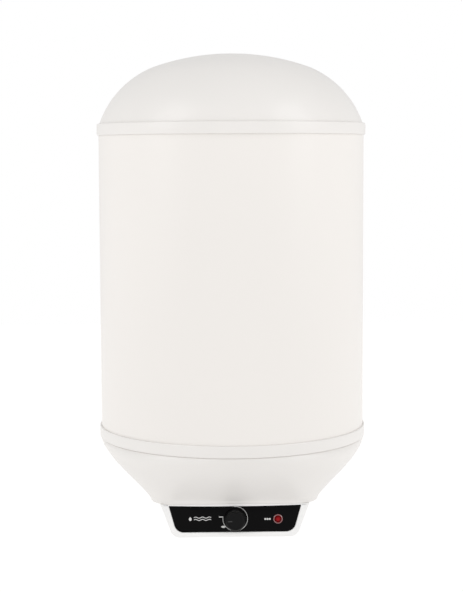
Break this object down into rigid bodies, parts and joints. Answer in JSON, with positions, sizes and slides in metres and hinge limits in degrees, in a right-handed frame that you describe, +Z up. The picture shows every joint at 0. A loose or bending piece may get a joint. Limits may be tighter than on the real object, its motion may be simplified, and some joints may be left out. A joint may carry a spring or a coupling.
{
  "type": "tank water heater",
  "caption": "Wall-hung electric tank water heater: white cylinder with domed top, tapered skirt, black control fascia, turning knob and red pilot lamp.",
  "frame": {"origin": "middle of the upper bracket's two slots, on the wall plane", "axes": "+Z up along the tank, +Y into the wall, +X to the right of someone facing the heater"},
  "size_m": [0.4499, 0.465, 0.79],
  "materials": {
    "casing_white": "satin",
    "cover_white": "satin",
    "housing_white": "satin",
    "fascia_black": "gloss",
    "knob_grey": "satin",
    "lamp_red": "gloss",
    "zinc": "satin",
    "steel": "satin",
    "enamel": "gloss",
    "foam": "matte",
    "black_rubber": "matte",
    "copper": "satin",
    "brass": "satin",
    "porcelain": "satin",
    "magnesium": "matte",
    "inner_white": "satin",
    "inner_dark": "satin",
    "bakelite": "satin",
    "collar_blue": "satin",
    "collar_red": "satin",
    "button_red": "satin",
    "wire_brown": "satin",
    "wire_blue": "satin",
    "wire_green": "satin"
  },
  "bodies": {
    "root": {"outer_casing": "casing_white", "top_cover": "cover_white", "bottom_cover": "cover_white", "cover_screws": "zinc", "insulation_foam": "foam", "tank_shell": "enamel", "tank_top_head": "enamel", "tank_bottom_head": "enamel", "flange_collar": "steel", "flange_studs": "zinc", "flange_gasket": "black_rubber", "flange_plate": "steel", "flange_nuts": "zinc", "heating_element": "copper", "element_bushings": "porcelain", "element_tabs": "brass", "anode_rod": "magnesium", "anode_stud": "zinc", "anode_nut": "zinc", "sensor_pocket": "steel", "sensor_bulb": "copper", "earth_stud": "brass", "earth_nuts": "brass", "cold_inlet_pipe": "steel", "inlet_diffuser": "inner_white", "cold_collar": "collar_blue", "hot_outlet_pipe": "steel", "hot_collar": "collar_red", "control_housing": "housing_white", "housing_screws": "zinc", "fascia_panel": "fascia_black", "thermostat_body": "zinc", "thermostat_base": "bakelite", "thermostat_screws": "zinc", "diaphragm_capsule": "copper", "capillary_tube": "copper", "lever_pin": "steel", "fixed_contacts": "brass", "cutout_body": "inner_dark", "cutout_spring": "steel", "pilot_lens": "lamp_red", "lamp_body": "inner_white", "lamp_clip": "zinc", "terminal_block": "inner_white", "terminal_screws": "brass", "cable_gland": "inner_dark", "gland_nut": "inner_dark", "live_wires": "wire_brown", "neutral_wires": "wire_blue", "earth_wire": "wire_green", "upper_bracket": "zinc", "lower_bracket": "zinc", "wall_buffer": "black_rubber"},
    "knob": {"thermostat_knob": "knob_grey", "knob_clip": "inner_dark", "thermostat_spindle": "steel"},
    "nut": {"set_nut": "inner_white"},
    "lever": {"contact_lever": "brass"},
    "reset": {"cutout_button": "button_red"}
  },
  "joints": [
    {"name": "knob_turn", "type": "hinge", "parent": "root", "child": "knob", "pos_m": [0, -0.3775, -0.518], "axis": [0, -1, 0], "range_deg": [0, 270]},
    {"name": "set_nut_slide", "type": "slide", "parent": "root", "child": "nut", "axis": [0, 1, 0], "range_m": [0, 0.0031]},
    {"name": "lever_tilt", "type": "hinge", "parent": "root", "child": "lever", "pos_m": [-0.016, -0.3469, -0.518], "axis": [0, 0, -1], "range_deg": [0, 4], "stiffness_Nm_per_rad": 0.02},
    {"name": "reset_press", "type": "slide", "parent": "root", "child": "reset", "axis": [0, 0, -1], "range_m": [0, 0.002], "stiffness_N_per_m": 300}
  ],
  "couplings": [
    {"joint": "set_nut_slide", "follows": "knob_turn", "m_per_rad": 0.00063662}
  ]
}
